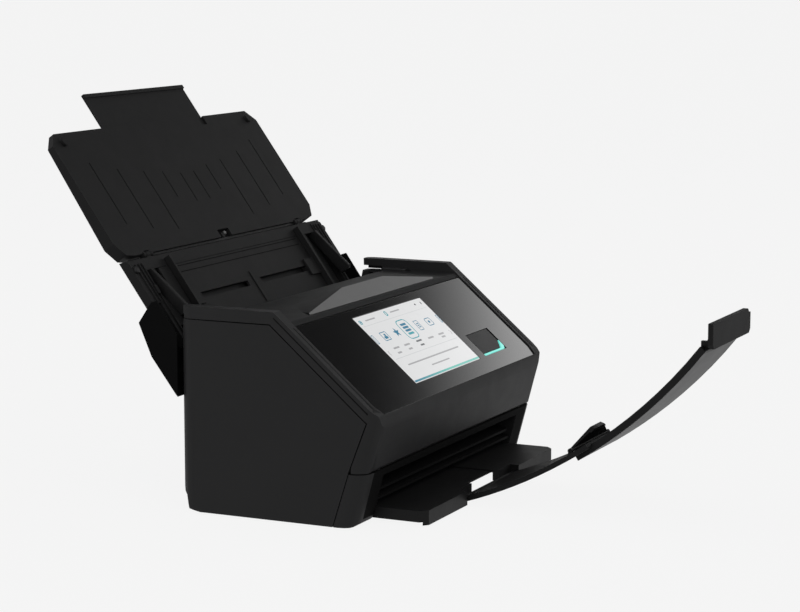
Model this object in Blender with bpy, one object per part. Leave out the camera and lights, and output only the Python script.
# Sheet-fed document scanner with a fold-out chute and a pull-out stacker.
# Metres, +Z up, the front faces -Y, Y = 0 is the middle of the body's footprint, Z = 0 is the desk.

import math

import bmesh
import bpy
from mathutils import Matrix, Vector

mm = 0.001

# Shared clearances and walls
GAP = 0.3 * mm
RUN = 0.6 * mm
BORE_CLEARANCE = 0.08 * mm
WALL = 2.5 * mm
SKIN = 1.9 * mm
OVERRUN = 30 * mm
MERGE_DISTANCE = 0.002 * mm
ARC_STEPS = 4

# Body silhouette, seen from the side
BODY_HALF_WIDTH = 146 * mm
FOOT_HEIGHT = 1.5 * mm
FACE_FOOT_Y = -57.5 * mm
FACE_TOP_Y = -75.6 * mm
FACE_TOP_Z = 69.5 * mm
NOSE_Y = -74.8 * mm
NOSE_Z = 78.9 * mm
RIDGE_Y = 2 * mm
RIM_Z = 144.5 * mm
RIM_REAR_Y = 73.3 * mm
REAR_TOP_Y = 73 * mm
REAR_TOP_Z = 136 * mm
REAR_Y = 76.7 * mm
REAR_LEAN_Z = 119 * mm
REAR_TUCK_Z = 18 * mm
HEEL_TOP_Y = 71.5 * mm
HEEL_TOP_Z = 12.4 * mm
HEEL_Y = 69.3 * mm
HEEL_Z = 3.2 * mm
SOLE_REAR_Y = 60.5 * mm
TOE_RADIUS = 6 * mm
NOSE_RADIUS = 3 * mm
RIDGE_RADIUS = 2.5 * mm
TUCK_RADIUS = 6 * mm
FRONT_CORNER_RADIUS = 12 * mm
FRONT_CORNER_STEP = 5 * mm
REAR_CORNER_RADIUS = 11 * mm

# Seams between the side panels, the front frame and the lifting cover
SEAM_Z = 39 * mm
SEAM_LOW_Y = -53.9 * mm
SEAM_FOOT_Y = -42 * mm
SEAM_NOSE_Y = -67.3 * mm
SEAM_NOSE_Z = 74.2 * mm
SEAM_RIDGE_Y = 4.8 * mm
SEAM_TOP_Z = 135.7 * mm
SEAM_CHAMFER = 1.6 * mm

# Rims, glossy panel and top deck
RIM_WIDTH = 9.2 * mm
RIM_INNER = BODY_HALF_WIDTH - RIM_WIDTH
RIM_UNDERCUT_Y = 57 * mm
RIM_UNDERCUT_Z = 139 * mm
PANEL_LOW_Y = -73.8 * mm
PANEL_LOW_Z = 78.6 * mm
PANEL_TOP_Y = -8.8 * mm
PANEL_TOP_Z = 134.2 * mm
PANEL_THICK = 2 * mm
PANEL_CORNER_ACROSS = 3.6 * mm
PANEL_CORNER_UP = 9 * mm
DECK_Z = 137 * mm
DECK_THICK = 1.3 * mm
DECK_NOSE_RADIUS = 3 * mm
DECK_REAR_Y = 52 * mm
HUMP_FRONT_HALF = 102 * mm
HUMP_CREST_HALF = 33 * mm
HUMP_FRONT_Y = -3.4 * mm
HUMP_CREST_Y = 7 * mm
HUMP_BACK_Y = 13 * mm
HUMP_END_Y = 40 * mm
HUMP_END_HALF = 56 * mm
HUMP_Z = 146.7 * mm
HUMP_BACK_Z = 145.6 * mm
HUMP_LIP = 1.2 * mm

# Screen and scan button, up the panel's slope from its lower edge
SCREEN_LEFT = -59.5 * mm
SCREEN_RIGHT = 52 * mm
SCREEN_LOW = 13.5 * mm
SCREEN_TOP = 78 * mm
BUTTON_LEFT = 63.5 * mm
BUTTON_RIGHT = 103 * mm
BUTTON_LOW = 14 * mm
BUTTON_TOP = 35 * mm
BUTTON_TRAVEL = 0.8 * mm
LIGHT_WIDTH = 1.6 * mm
LIGHT_TOP = 22.4 * mm
BOARD_THICK = 1.6 * mm
CONTROL_BOARD_HALF = 55 * mm
CONTROL_BOARD_LOW = 22 * mm
CONTROL_BOARD_TOP = 72 * mm

# Lifting cover hinge
HINGE_Y = -65.5 * mm
HINGE_Z = 41.2 * mm
LUG_RADIUS = 1.5 * mm
HINGE_PIN_RADIUS = 0.7 * mm
LUG_INSET = 25 * mm
LUG_INNER = BODY_HALF_WIDTH - LUG_INSET
LUG_WIDTH = 4 * mm
TRUNNION_REACH = 3 * mm
HINGE_FLANGE = 4.5 * mm

# Front opening for the stacker
SIDE_DEPTH = 29 * mm
OPENING_HALF = BODY_HALF_WIDTH - SIDE_DEPTH
OPENING_TOP_Z = 33.8 * mm

# Chute plane: it rises from the cover's lower edge line
CHUTE_ANGLE = math.radians(54)
CHUTE_Y = 119.1 * mm
CHUTE_Z = 174.1 * mm

# Chute cover
COVER_SPREAD = 0.5 * mm
COVER_HALF = BODY_HALF_WIDTH + COVER_SPREAD
COVER_LENGTH = 103 * mm
COVER_START = 0.4 * mm
COVER_TOP_THICK = 4.6 * mm
COVER_LOW_THICK = 9.5 * mm
COVER_TOP_CHAMFER = 9.5 * mm
COVER_LOW_STEP = 7.5 * mm
COVER_LOW_REACH = 2 * mm
COVER_LOW_CORNER = 12 * mm
COVER_PIVOT_DEPTH = 1 * mm
POCKET_ROOF = 1.4 * mm
POCKET_FLOOR = 3.3 * mm
NOTCH_HALF = 8 * mm
NOTCH_DEPTH = 6.7 * mm
STUD_INSET = 14.5 * mm
STUD_X = COVER_HALF - STUD_INSET
STUD_UP_INSET = 8 * mm
STUD_UP = COVER_LENGTH - STUD_UP_INSET
STUD_RADIUS = 3 * mm
STUD_HEIGHT = 2.4 * mm
SLOT_LEFT = 62 * mm
SLOT_WIDTH = 8 * mm
SLOT_LENGTH = 7.5 * mm
SLOT_START = COVER_LENGTH - SLOT_LENGTH
GROOVE_WIDTH = 1.2 * mm
GROOVE_DEPTH = 0.5 * mm
# Each groove: where it starts and where it ends up the cover
GROOVE_SPANS = [
    (25 * mm, 77 * mm),
    (18 * mm, 69 * mm),
    (13.5 * mm, 64 * mm),
    (39 * mm, 61.5 * mm),
    (33 * mm, 58 * mm),
]
# Each groove's place across, as a share of the cover's half width
GROOVE_SHARES = [0.792, 0.594, 0.382, 0.218, 0.065]
KNUCKLE_INSET = 33.5 * mm
KNUCKLE_X = COVER_HALF - KNUCKLE_INSET
KNUCKLE_WIDTH = 5 * mm
KNUCKLE_RADIUS = 2 * mm
KNUCKLE_PIN_RADIUS = 0.9 * mm
KNUCKLE_PIN_REACH = 3 * mm

# Chute extension
EXTENSION_HALF = 70.5 * mm
POCKET_CLEARANCE = 0.5 * mm
POCKET_HALF = EXTENSION_HALF + POCKET_CLEARANCE
EXTENSION_OUT = 29.8 * mm
EXTENSION_HELD = 43 * mm
EXTENSION_START = COVER_LENGTH - EXTENSION_HELD
EXTENSION_END = COVER_LENGTH + EXTENSION_OUT
EXTENSION_TRAVEL = 26 * mm
EXTENSION_LIP = 3.2 * mm
EXTENSION_LIP_RISE = 1.4 * mm

# Hopper that carries the chute cover and slides down into the body
HOPPER_DROP = 31 * mm
RAIL_WIDTH = 16.3 * mm
RAIL_END = 72 * mm
RAIL_WIDE_END = 38 * mm
RAIL_NARROW_WIDTH = 6.5 * mm
RAIL_THICK = 6 * mm
RAIL_RISE = 0.8 * mm
RAIL_TOP = 5 * mm
BAR_TOP = 2.6 * mm
BAR_LOW = 12 * mm
RECESS_END = 56 * mm
BACKING_THICK = 1 * mm
PLATE_INSET = 16.5 * mm
PLATE_THICK = 2.2 * mm
PLATE_END = 75 * mm
GUIDE_SLOT_UP = 40 * mm
GUIDE_SLOT_WIDTH = 4.4 * mm
GUIDE_SLOT_INSET = 6 * mm
ARM_INSET = 5 * mm
ARM_WIDTH = 3 * mm
ARM_START = 12.3 * mm
ARM_END = 51 * mm
ARM_START_RISE = 3.2 * mm
ARM_RISE = 12.5 * mm
ARM_DEPTH = 9 * mm
ARM_TIP = 1.5 * mm

# Side guides with their racks and pinion
GUIDE_INSET = 15 * mm
GUIDE_CLOSED_X = 24 * mm
GUIDE_WALL = 2.6 * mm
GUIDE_HIGH = 5.5 * mm
GUIDE_TOP = 6.5 * mm
GUIDE_LOW = 62 * mm
GUIDE_FOOT_REACH = 14 * mm
GUIDE_FOOT_HALF = 7 * mm
GUIDE_FOOT_THICK = 1.8 * mm
GUIDE_NECK = 3.4 * mm
RACK_MODULE = 1 * mm
RACK_OVERRUN = 6 * mm
RACK_BACK = 2 * mm
RACK_THICK = 2.2 * mm
GUIDE_PINION_TEETH = 8

# Rear housing that the hopper slides into
TUB_INSET = 0.2 * mm
TUB_HALF = BODY_HALF_WIDTH - TUB_INSET
TUB_WALL = 1.4 * mm
TUB_LOW_Y = 79.1 * mm
TUB_LOW_Z = 83.1 * mm
TUB_MID_Y = 97.5 * mm
TUB_MID_Z = 107.2 * mm
TUB_BACK_Y = 107.5 * mm
TUB_BACK_Z = 130.3 * mm
TUB_APEX_Y = 97.4 * mm
TUB_APEX_Z = 145.1 * mm
TUB_TIP_Y = 92.9 * mm
TUB_TIP_Z = 146.6 * mm
TUB_FRONT_Z = 124 * mm
TUB_REAR_WALL = 2.5 * mm

# Rear cover, its window for the hopper, and sockets
REAR_COVER_INSET = 12.3 * mm
REAR_COVER_HALF = BODY_HALF_WIDTH - REAR_COVER_INSET
REAR_COVER_TOP_Z = 99 * mm
SOCKET_Z = 24 * mm
POWER_INSET = 24.8 * mm
SOCKET_SPACING = 32 * mm
POWER_HALF = 6 * mm
POWER_DEPTH = 12 * mm
POWER_HOLE_RADIUS = 3.2 * mm
USB_HALF_WIDTH = 6.5 * mm
USB_HALF_HEIGHT = 5.8 * mm
USB_DEPTH = 13 * mm
SOCKET_WALL = 1 * mm
SOCKET_LIP = 0.6 * mm

# Floor
FLOOR_INSET = 2.8 * mm
FLOOR_HALF = BODY_HALF_WIDTH - FLOOR_INSET
FLOOR_FRONT_Y = -44.5 * mm
FLOOR_THICK = 1.7 * mm
RUNNER_INSET = 0.2 * mm
RUNNER_INNER = OPENING_HALF + RUNNER_INSET
RUNNER_WIDTH = 2 * mm
RUNNER_TOP_Z = 10 * mm
PAD_INSET = 21.2 * mm
PAD_X = FLOOR_HALF - PAD_INSET
PAD_FRONT_Y = -30 * mm
PAD_REAR_Y = 50 * mm
PAD_RADIUS = 7 * mm

# Frame plates that carry the rollers
FRAME_INSET = 0.2 * mm
FRAME_INNER = OPENING_HALF - FRAME_INSET
FRAME_THICK = 3 * mm
FRAME_FRONT_Y = -40 * mm
FRAME_REAR_Y = 66 * mm
FRAME_CLEAR_Z = 12.8 * mm
FRAME_REAR_Z = 92 * mm

# Paper path: down the chute plane, round an arc, out at a shallow angle
PATH_RADIUS = 90 * mm
PATH_STRAIGHT_END = 135 * mm
EXIT_ANGLE = math.radians(12)
EXIT_Y = -60 * mm
GUIDE_SHEET = 1.8 * mm
LOWER_OFFSET = 2.6 * mm
UPPER_OFFSET = 1.6 * mm
UPPER_GUIDE_START = 97 * mm
COVER_INNER_INSET = 0.8 * mm
COVER_INNER_WALL = 2.4 * mm
COVER_INNER_HALF = FRAME_INNER - COVER_INNER_INSET
LOWER_GUIDE_HALF = FRAME_INNER - GAP
UPPER_GUIDE_HALF = COVER_INNER_HALF - COVER_INNER_WALL - RUN
COVER_BACK_Y = 51 * mm
PATH_STEPS = 5

# Rollers: place along the path, radius and half width
PICK_UP = 112 * mm
PICK_RADIUS = 9 * mm
PICK_HALF = 22 * mm
BRAKE_RADIUS = 8 * mm
FEED_ANGLE = math.radians(46)
FEED_RADIUS = 7 * mm
FEED_HALF = 42 * mm
FEED_IDLER_RADIUS = 5 * mm
EJECT_Y = -30 * mm
EJECT_RADIUS = 6.6 * mm
EJECT_HALF = 42 * mm
EJECT_IDLER_RADIUS = 5 * mm
NIP = 0.15 * mm
SHAFT_RADIUS = 2 * mm
IDLER_SHAFT_RADIUS = 1.5 * mm
SHAFT_OVERHANG = 1 * mm
PULLEY_RADIUS = 8 * mm
PULLEY_WIDTH = 5 * mm
PULLEY_STANDOFF = 1.7 * mm
PULLEY_X = FRAME_INNER + FRAME_THICK + PULLEY_STANDOFF
BELT_THICK = 1.2 * mm
BELT_CLEARANCE = 0.4 * mm

# Feed gear and motor
GEAR_MODULE = 1 * mm
FEED_TEETH = 42
MOTOR_TEETH = 14
GEAR_WIDTH = 5 * mm
GEAR_STANDOFF = 8.5 * mm
GEAR_X = PULLEY_X + GEAR_STANDOFF
MOTOR_ANGLE = math.radians(300)
MOTOR_RADIUS = 10.5 * mm
MOTOR_LENGTH = 34 * mm
MOTOR_SHAFT_RADIUS = 1.5 * mm
GEAR_SLACK = 0.25 * mm
# Tooth height above and below the pitch line, and half widths at its foot and crest, in modules or pitches
TIP_SHARE = 0.75
ROOT_SHARE = 1.05
FOOT_SHARE = 0.27
CREST_SHARE = 0.1

# Sensors
SENSOR_ANGLE = math.radians(29)
SENSOR_INSET = 4 * mm
SENSOR_HALF = UPPER_GUIDE_HALF - SENSOR_INSET
SENSOR_WIDE = 14 * mm
SENSOR_DEEP = 11 * mm
GLASS_WIDE = 11 * mm
GLASS_THICK = 1.2 * mm

# Main board stands at the rear
MAIN_BOARD_HALF = 70 * mm
MAIN_BOARD_LOW_Z = 36 * mm
MAIN_BOARD_TOP_Z = 94 * mm

# Cover release lever beside the right rim
LEVER_INSET = 6.3 * mm
LEVER_X = RIM_INNER - LEVER_INSET
LEVER_WIDTH = 5.4 * mm
LEVER_FRONT_Y = 34 * mm
LEVER_LENGTH = 21 * mm
LEVER_THICK = 4.2 * mm
LEVER_RISE = 1.4 * mm
LEVER_TRAVEL = 3 * mm

# Stacker tray
TRAY_HALF = OPENING_HALF - RUN
TRAY_REAR_Y = -10 * mm
TRAY_FRONT_Y = -97.2 * mm
TRAY_EDGE_Y = -90.3 * mm
TRAY_LOW_Z = 3.5 * mm
TRAY_TOP_Z = 11.3 * mm
TRAY_LIP_Z = 1.2 * mm
TRAY_LIP = 3.2 * mm
TRAY_SKIN = 2 * mm
TRAY_CORNER = 5 * mm
TRAY_BAY_HALF = 46.8 * mm
TRAY_TRAVEL = 45 * mm
FINGER_HALF = 23.5 * mm
FINGER_DEPTH = 5.2 * mm
CHANNEL_HALF = 22.5 * mm
CHANNEL_REAR_Y = -30 * mm
CHANNEL_DEPTH = 0.8 * mm

# Stacker extensions follow one arc
ROOT_Y = -93.4 * mm
ROOT_Z = 4.5 * mm
ARC_RADIUS = 352 * mm
ARC_START_Z = 2.597 * mm
ARC_START_ANGLE = math.radians(18.1927)
ARC_Y = ROOT_Y + ARC_RADIUS * math.sin(ARC_START_ANGLE)
ARC_Z = ARC_START_Z + ARC_RADIUS * math.cos(ARC_START_ANGLE)
FIRST_HALF = 46 * mm
FIRST_THICK = 3.5 * mm
FIRST_SKIN = 1.5 * mm
FIRST_ROOT_Y = -96 * mm
FIRST_END_Y = -186 * mm
ROOT_RADIUS = 2.3 * mm
ROOT_PIN_RADIUS = 1.3 * mm
ROOT_PIN_REACH = 4 * mm
SECOND_HALF = 38 * mm
SECOND_SKIN = 1.5 * mm
SECOND_DEEP = 5 * mm
SECOND_WALL = 2 * mm
SECOND_ROOT_Y = -174 * mm
SECOND_END_Y = -262.6 * mm

# Stoppers
MIDDLE_HALF = 34 * mm
MIDDLE_BASE_Y = -169.6 * mm
MIDDLE_BASE_RISE = 6.281 * mm
MIDDLE_TIP_Y = -174 * mm
MIDDLE_TIP_HALF = 9.7 * mm
MIDDLE_HIGH = 12.4 * mm
MIDDLE_THICK = 2.2 * mm
MIDDLE_LIP = 3.4 * mm
MIDDLE_BARREL = 1.4 * mm
END_HALF = 42 * mm
END_FRONT_Y = -271.6 * mm
END_THICK = 3.6 * mm
END_DROP = 3.8 * mm
END_HIGH = 17.4 * mm
END_STEP = 3 * mm
END_AXIS_Y = -265.6 * mm
END_AXIS_RISE = -0.069 * mm
END_BARREL = 1.5 * mm
END_BARREL_HALF = 27 * mm
END_PIN_RADIUS = 0.8 * mm
EAR_WIDTH = 3 * mm
# How far the middle stopper's flat side lies from its axis, as a part of its barrel's radius
SNUG_SHARE = 0.9

# Colours: red, green, blue, then roughness and metallic value
FINISHES = {
    "dark_plastic": ((0.018, 0.018, 0.019), 0.45, 0.0),
    "black_plastic": ((0.008, 0.008, 0.008), 0.5, 0.0),
    "gloss_black": ((0.006, 0.006, 0.007), 0.08, 0.0),
    "grey_plastic": ((0.09, 0.09, 0.09), 0.4, 0.0),
    "display": ((0.8, 0.85, 0.86), 0.12, 0.0),
    "light_guide": ((0.13, 0.78, 0.66), 0.25, 0.0),
    "rubber": ((0.02, 0.02, 0.02), 0.8, 0.0),
    "steel": ((0.55, 0.55, 0.56), 0.3, 1.0),
    "gear_plastic": ((0.75, 0.74, 0.7), 0.4, 0.0),
    "board": ((0.02, 0.14, 0.06), 0.5, 0.0),
    "glass": ((0.6, 0.66, 0.66), 0.05, 0.0),
}


# Collections and helpers

def clear_scene():
    for obj in list(bpy.data.objects):
        bpy.data.objects.remove(obj)


def new_collection(name):
    collection = bpy.data.collections.new(name)
    bpy.context.scene.collection.children.link(collection)
    return collection


clear_scene()
PARTS = new_collection("document_scanner")
CUTTERS = new_collection("cutters")
MATERIALS = {}
WORLD = Matrix.Identity(4)
CHUTE = Matrix.Translation((0, CHUTE_Y, CHUTE_Z)) @ Matrix.Rotation(CHUTE_ANGLE, 4, "X")
PANEL_ANGLE = math.atan2(PANEL_TOP_Z - PANEL_LOW_Z, PANEL_TOP_Y - PANEL_LOW_Y)
PANEL_LENGTH = math.hypot(PANEL_TOP_Y - PANEL_LOW_Y, PANEL_TOP_Z - PANEL_LOW_Z)
PANEL = Matrix.Translation((0, PANEL_LOW_Y, PANEL_LOW_Z)) @ Matrix.Rotation(PANEL_ANGLE, 4, "X")
PINION_PITCH = RACK_MODULE * GUIDE_PINION_TEETH / 2
RACK_PITCH = math.pi * RACK_MODULE
RACK_REACH = PINION_PITCH + GEAR_SLACK + ROOT_SHARE * RACK_MODULE + RACK_BACK
RACK_FAR_H = -PLATE_THICK - GAP - RACK_THICK


def arc_height(y):
    """Height of the extensions' arc at a place along Y."""
    return ARC_Z - math.sqrt(ARC_RADIUS ** 2 - (y - ARC_Y) ** 2)


# The stoppers sit on the extensions' arc
MIDDLE_BASE_Z = arc_height(MIDDLE_BASE_Y) + MIDDLE_BASE_RISE
MIDDLE_TIP_Z = MIDDLE_BASE_Z + MIDDLE_HIGH
END_AXIS_Z = arc_height(END_AXIS_Y) + END_AXIS_RISE
END_LOW_Z = END_AXIS_Z - END_DROP
END_TOP_Z = END_LOW_Z + END_HIGH

# The sockets stand side by side, in from the left frame plate
POWER_X = POWER_INSET - FRAME_INNER
USB_X = POWER_X + SOCKET_SPACING

# The hopper's rails lie inside the rear housing; its plate, arms and guides lie between them
RAIL_OUTER = TUB_HALF - TUB_WALL - RUN
RAIL_INNER = RAIL_OUTER - RAIL_WIDTH
RAIL_NARROW_OUTER = RAIL_INNER + RAIL_NARROW_WIDTH
ARM_INNER = RAIL_INNER - ARM_INSET
PLATE_HALF = RAIL_INNER - PLATE_INSET
GUIDE_X = PLATE_HALF - GUIDE_INSET
GUIDE_SLOT_OUTER = GUIDE_X - GUIDE_SLOT_INSET
GUIDE_TRAVEL = GUIDE_X - GUIDE_CLOSED_X
RACK_TEETH = round((GUIDE_X - GUIDE_FOOT_REACH + RACK_OVERRUN) / RACK_PITCH)

# The floor of the recess beside the hopper's plate, and the backing under its racks
RECESS_TOP = RACK_FAR_H - GAP

# What has to stay clear of a moving piece at the end of its travel
POCKET_START = EXTENSION_START - EXTENSION_TRAVEL - RUN
GUIDE_SLOT_INNER = GUIDE_X - GUIDE_FOOT_REACH - GUIDE_TRAVEL - RUN
LOWER_GUIDE_START = GUIDE_SLOT_UP + RACK_REACH + HOPPER_DROP + RUN
FRAME_STEP_Y = TRAY_REAR_Y + TRAY_TRAVEL + WALL


def material(name):
    if name not in MATERIALS:
        colour, roughness, metallic = FINISHES[name]
        made = bpy.data.materials.new(name)
        made.use_nodes = True
        shader = made.node_tree.nodes["Principled BSDF"]
        shader.inputs["Base Color"].default_value = (*colour, 1)
        shader.inputs["Roughness"].default_value = roughness
        shader.inputs["Metallic"].default_value = metallic
        MATERIALS[name] = made
    return MATERIALS[name]


def scratch(mesh, frame=WORLD):
    """A working solid that is not yet a part."""
    obj = bpy.data.objects.new("work", mesh)
    obj.matrix_basis = frame
    CUTTERS.objects.link(obj)
    return obj


def from_bmesh(shape, frame=WORLD):
    bmesh.ops.recalc_face_normals(shape, faces=shape.faces)
    mesh = bpy.data.meshes.new("work")
    shape.to_mesh(mesh)
    shape.free()
    return scratch(mesh, frame)


def box(low, high, frame=WORLD):
    size = [b - a for a, b in zip(low, high)]
    middle = [(a + b) / 2 for a, b in zip(low, high)]
    shape = bmesh.new()
    bmesh.ops.create_cube(shape, size=1)
    bmesh.ops.scale(shape, vec=size, verts=shape.verts)
    bmesh.ops.translate(shape, vec=middle, verts=shape.verts)
    return from_bmesh(shape, frame)


def rod(radius, low, high, y, z, frame=WORLD, sides=16):
    """A round bar along X."""
    shape = bmesh.new()
    bmesh.ops.create_cone(
        shape, cap_ends=True, segments=sides, radius1=radius, radius2=radius, depth=high - low
    )
    turn = Matrix.Rotation(math.radians(90), 4, "Y")
    turn = Matrix.Translation(((low + high) / 2, y, z)) @ turn
    bmesh.ops.transform(shape, matrix=turn, verts=shape.verts)
    return from_bmesh(shape, frame)


def post(radius, low, high, x, y, frame=WORLD, sides=16):
    """A round bar along the frame's Z."""
    shape = bmesh.new()
    bmesh.ops.create_cone(
        shape, cap_ends=True, segments=sides, radius1=radius, radius2=radius, depth=high - low
    )
    bmesh.ops.translate(shape, vec=(x, y, (low + high) / 2), verts=shape.verts)
    return from_bmesh(shape, frame)


def bore(radius, sides=16):
    """The radius of a hole whose flats clear a turning shaft."""
    return (radius + BORE_CLEARANCE) / math.cos(math.pi / sides)


def slab(outline, low, high, axis="X", frame=WORLD, shear=0.0):
    """A flat outline given its thickness along one axis, as a welded mesh."""
    curve = bpy.data.curves.new("outline", "CURVE")
    curve.dimensions = "2D"
    curve.fill_mode = "BOTH"
    curve.extrude = (high - low) / 2
    spline = curve.splines.new("POLY")
    spline.points.add(len(outline) - 1)
    for point, place in zip(spline.points, outline):
        point.co = (place[0], place[1], 0, 1)
    spline.use_cyclic_u = True
    holder = bpy.data.objects.new("outline", curve)
    CUTTERS.objects.link(holder)
    bpy.context.view_layer.update()
    graph = bpy.context.evaluated_depsgraph_get()
    mesh = bpy.data.meshes.new_from_object(holder.evaluated_get(graph))
    bpy.data.objects.remove(holder)
    shape = bmesh.new()
    shape.from_mesh(mesh)
    bmesh.ops.remove_doubles(shape, verts=shape.verts, dist=0.001 * mm)
    bmesh.ops.dissolve_limit(
        shape, angle_limit=math.radians(0.1), verts=shape.verts, edges=shape.edges
    )
    middle = (low + high) / 2
    turn = {
        "X": Matrix(((0, 0, 1, middle), (1, 0, 0, 0), (0, 1, 0, 0), (0, 0, 0, 1))),
        "Y": Matrix(((1, 0, 0, 0), (0, 0, -1, middle), (0, 1, 0, 0), (0, 0, 0, 1))),
        "Z": Matrix.Translation((0, 0, middle)),
    }[axis]
    bmesh.ops.transform(shape, matrix=turn, verts=shape.verts)
    for vert in shape.verts:
        vert.co.y += shear * vert.co.z
    return from_bmesh(shape, frame)


def combine(obj, other, operation):
    modifier = obj.modifiers.new(operation.lower(), "BOOLEAN")
    modifier.operation = operation
    modifier.solver = "EXACT"
    modifier.object = other
    bpy.context.view_layer.update()
    graph = bpy.context.evaluated_depsgraph_get()
    mesh = bpy.data.meshes.new_from_object(obj.evaluated_get(graph))
    obj.modifiers.clear()
    obj.data = mesh
    bpy.data.objects.remove(other)
    return obj


def cut(obj, *cutters):
    for cutter in cutters:
        combine(obj, cutter, "DIFFERENCE")
    return obj


def join(obj, *others):
    for other in others:
        combine(obj, other, "UNION")
    return obj


def keep(obj, *others):
    for other in others:
        combine(obj, other, "INTERSECT")
    return obj


def mirrored(obj):
    """A copy on the other side of the middle plane."""
    shape = bmesh.new()
    shape.from_mesh(obj.data)
    bmesh.ops.scale(shape, vec=(-1, 1, 1), verts=shape.verts)
    bmesh.ops.reverse_faces(shape, faces=shape.faces)
    return from_bmesh(shape, obj.matrix_basis.copy())


PIVOTS = {}


def pivot(name, place, parent=None, frame=WORLD):
    """An empty on a joint's axis, with the place given in the frame."""
    empty = bpy.data.objects.new(name, None)
    PARTS.objects.link(empty)
    spot = frame @ Vector(place)
    PIVOTS[name] = Matrix.Translation(spot)
    if parent:
        empty.parent = bpy.data.objects[parent]
        empty.matrix_parent_inverse = PIVOTS[parent].inverted()
    empty.matrix_basis = PIVOTS[name]
    return name


def part(obj, name, finish, parent=None):
    """Turn a working solid into a named sub-part."""
    shape = bmesh.new()
    shape.from_mesh(obj.data)
    bmesh.ops.remove_doubles(shape, verts=shape.verts, dist=MERGE_DISTANCE)
    bmesh.ops.dissolve_degenerate(shape, edges=shape.edges, dist=MERGE_DISTANCE)
    shape.to_mesh(obj.data)
    shape.free()
    obj.data.name = name
    obj.name = name
    CUTTERS.objects.unlink(obj)
    PARTS.objects.link(obj)
    obj.data.materials.clear()
    obj.data.materials.append(material(finish))
    obj.data.shade_smooth()
    obj.data.set_sharp_from_angle(angle=math.radians(35))
    if parent:
        obj.parent = bpy.data.objects[parent]
        obj.matrix_parent_inverse = PIVOTS[parent].inverted()
    return obj


def rounded(points, radii):
    """Replace each corner that has a radius by an arc."""
    out = []
    count = len(points)
    for index, (point, radius) in enumerate(zip(points, radii)):
        here = Vector(point)
        before = (Vector(points[index - 1]) - here).normalized()
        after = (Vector(points[(index + 1) % count]) - here).normalized()
        angle = before.angle(after)
        if radius == 0:
            out.append(tuple(here))
            continue
        reach = radius / math.tan(angle / 2)
        centre = here + (before + after).normalized() * (radius / math.sin(angle / 2))
        start = here + before * reach - centre
        sweep = math.pi - angle
        turn = 1 if before.y * after.x - before.x * after.y > 0 else -1
        for step in range(ARC_STEPS + 1):
            part_way = turn * sweep * step / ARC_STEPS
            spin = Matrix.Rotation(part_way, 2)
            out.append(tuple(centre + spin @ start))
    return out


def inset(points, distance):
    """Move every edge of an anticlockwise outline inwards."""
    out = []
    count = len(points)
    for index in range(count):
        a = Vector(points[index - 1])
        b = Vector(points[index])
        c = Vector(points[(index + 1) % count])
        first = (b - a).normalized()
        second = (c - b).normalized()
        normal = Vector((-first.y, first.x))
        bisector = normal + Vector((-second.y, second.x))
        out.append(tuple(b + bisector * (distance / bisector.dot(normal))))
    return out


def ring(centre, radius, start, end, steps):
    """Points round part of a circle in the YZ plane."""
    out = []
    for step in range(steps + 1):
        angle = start + (end - start) * step / steps
        out.append((centre[0] + radius * math.cos(angle), centre[1] + radius * math.sin(angle)))
    return out


def face_y(z):
    """The front face's line, seen from the side."""
    lean = (FACE_TOP_Y - FACE_FOOT_Y) / (FACE_TOP_Z - FOOT_HEIGHT)
    return FACE_FOOT_Y + (z - FOOT_HEIGHT) * lean


def panel_point(up, proud):
    """A side-view point on or off the glossy panel's plane."""
    spot = PANEL @ Vector((0, up, proud))
    return (spot.y, spot.z)


def chute_point(up, proud):
    """A side-view point on or off the chute's plane."""
    spot = CHUTE @ Vector((0, up, proud))
    return (spot.y, spot.z)


# Outer shape of the body, which every outer shell is trimmed to

def envelope():
    outline = [
        (FACE_FOOT_Y, FOOT_HEIGHT),
        (SOLE_REAR_Y, FOOT_HEIGHT),
        (HEEL_Y, HEEL_Z),
        (HEEL_TOP_Y, HEEL_TOP_Z),
        (REAR_Y, REAR_TUCK_Z),
        (REAR_Y, REAR_LEAN_Z),
        (REAR_TOP_Y, REAR_TOP_Z),
        (RIM_REAR_Y, RIM_Z),
        (RIDGE_Y, RIM_Z),
        (NOSE_Y, NOSE_Z),
        (FACE_TOP_Y, FACE_TOP_Z),
    ]
    radii = [TOE_RADIUS, 0, 0, 0, TUCK_RADIUS, 0, 0, 0, RIDGE_RADIUS, NOSE_RADIUS, 0]
    body = slab(rounded(outline, radii), -BODY_HALF_WIDTH, BODY_HALF_WIDTH)
    lean = (FACE_TOP_Y - FACE_FOOT_Y) / (FACE_TOP_Z - FOOT_HEIGHT)
    front = face_y(0)
    far = REAR_Y + OVERRUN + OVERRUN
    wide = BODY_HALF_WIDTH
    plan = [(-wide, front), (wide, front), (wide, far), (-wide, far)]
    corner = FRONT_CORNER_RADIUS
    front_trim = slab(
        rounded(plan, [corner, corner, 0, 0]), -OVERRUN, RIM_Z + OVERRUN, "Z", shear=lean
    )
    near = FACE_TOP_Y - OVERRUN
    plan = [(-wide, near), (wide, near), (wide, REAR_Y), (-wide, REAR_Y)]
    corner = REAR_CORNER_RADIUS
    rear_trim = slab(rounded(plan, [0, 0, corner, corner]), -OVERRUN, RIM_Z + OVERRUN, "Z")
    return keep(body, front_trim, rear_trim)


def seam_foot(z):
    """The front pillar's rear seam, which leans back towards its foot."""
    slope = (SEAM_FOOT_Y - SEAM_LOW_Y) / (FOOT_HEIGHT - SEAM_Z)
    return SEAM_LOW_Y + (z - SEAM_Z) * slope


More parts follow.
